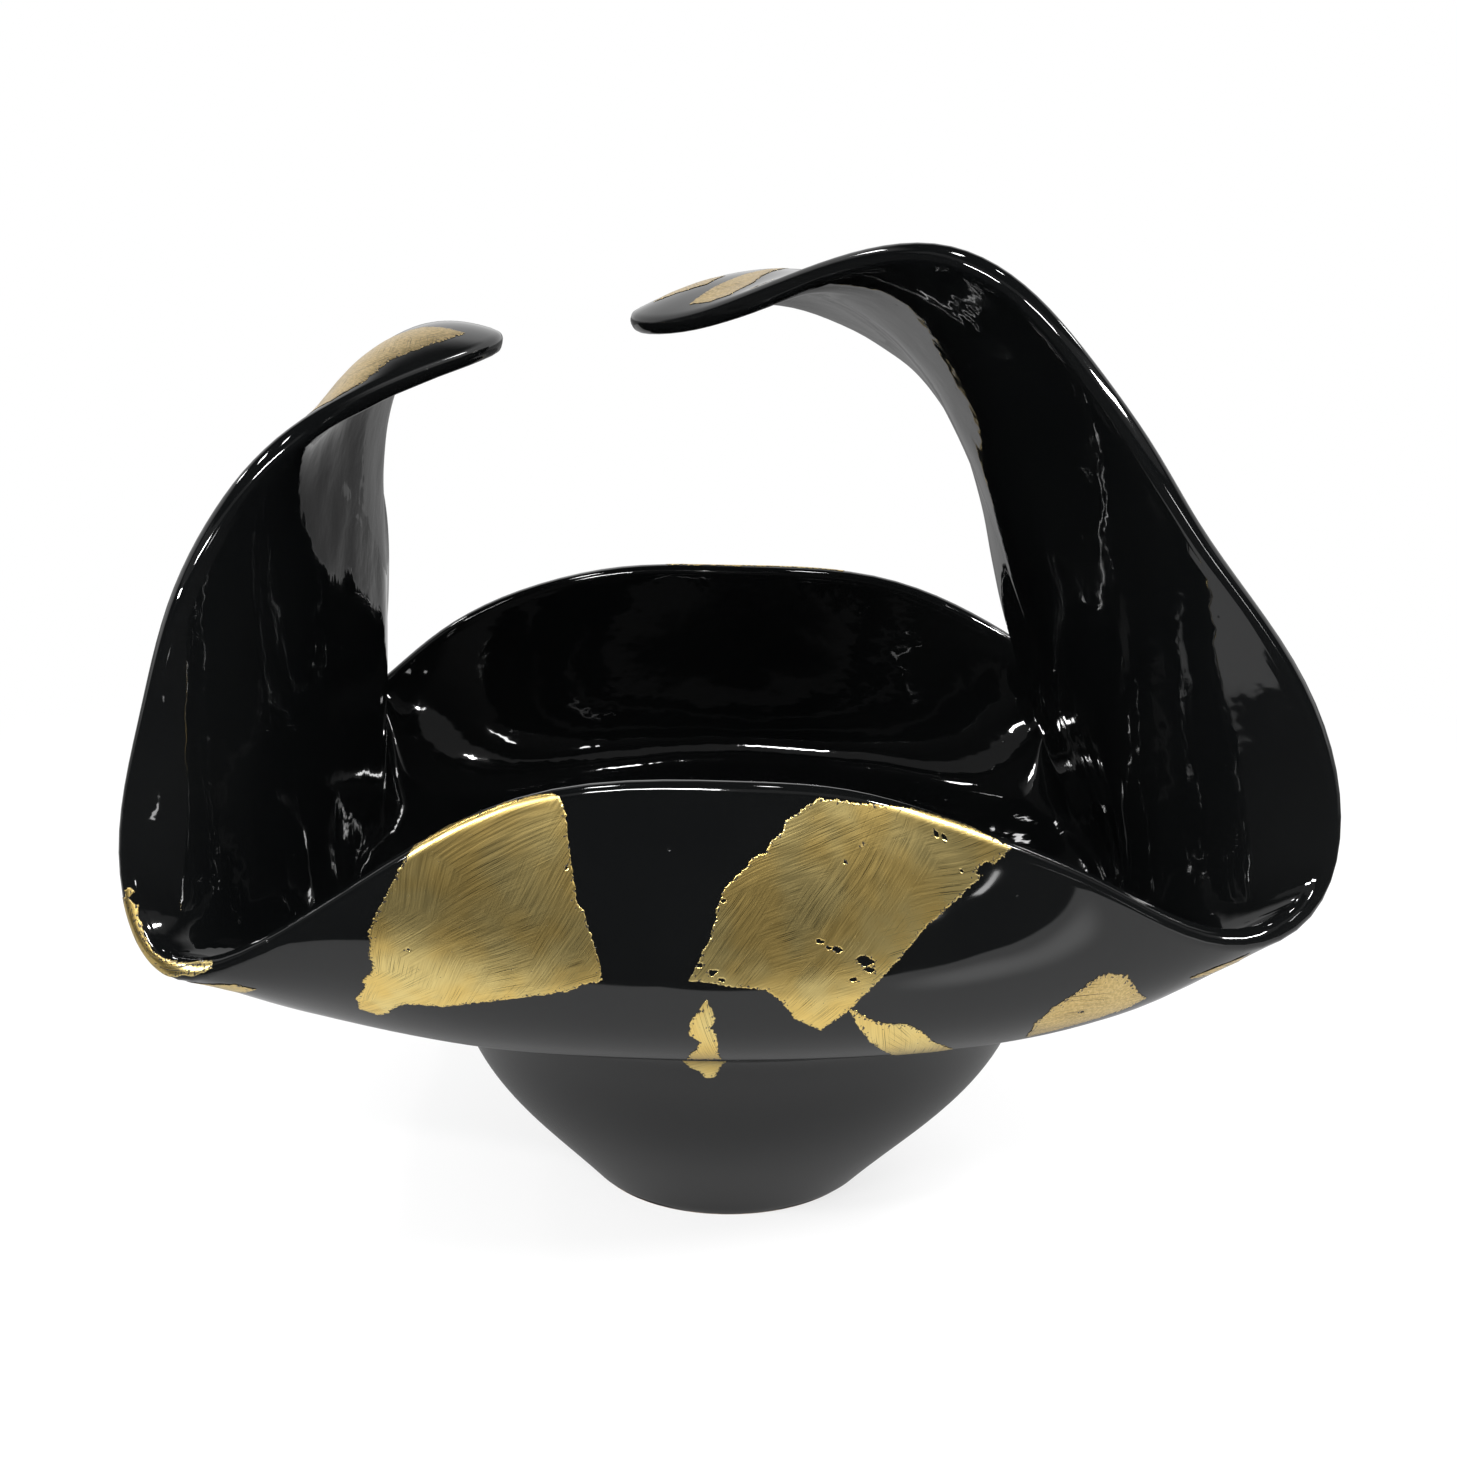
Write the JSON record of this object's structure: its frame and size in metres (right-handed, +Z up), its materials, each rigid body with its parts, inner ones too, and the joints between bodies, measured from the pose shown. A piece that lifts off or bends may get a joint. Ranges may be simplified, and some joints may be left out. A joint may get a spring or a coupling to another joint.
{
  "type": "free-form ceramic basket bowl",
  "caption": "Black-glazed free-form ceramic bowl on a small round foot, its thin wall drawn out into corners, two lips and two tall arms curling in over the bowl, with torn gold leaf scraps.",
  "frame": {"origin": "centre of the foot on the surface it stands on", "axes": "+Z up, -Y towards the front lip, +X towards the taller arm on the right as seen from the front"},
  "size_m": [0.3654, 0.3275, 0.3371],
  "materials": {
    "glazed_clay": "deep gloss black glaze over fired clay, the foot ring bare",
    "gold_leaf": "torn, creased gold-coloured leaf, satin, under a thin lacquer"
  },
  "bodies": {
    "root": {"body": "glazed_clay", "leaf_front_left": "gold_leaf", "leaf_front_right": "gold_leaf", "leaf_flame": "gold_leaf", "leaf_foot": "gold_leaf", "leaf_bow": "gold_leaf", "leaf_right_low": "gold_leaf", "leaf_right_corner": "gold_leaf", "leaf_left_corner": "gold_leaf", "leaf_left_strip": "gold_leaf", "leaf_left_tip": "gold_leaf", "leaf_right_tip_a": "gold_leaf", "leaf_right_tip_b": "gold_leaf", "leaf_back_lip": "gold_leaf", "leaf_back_low": "gold_leaf"}
  },
  "joints": []
}
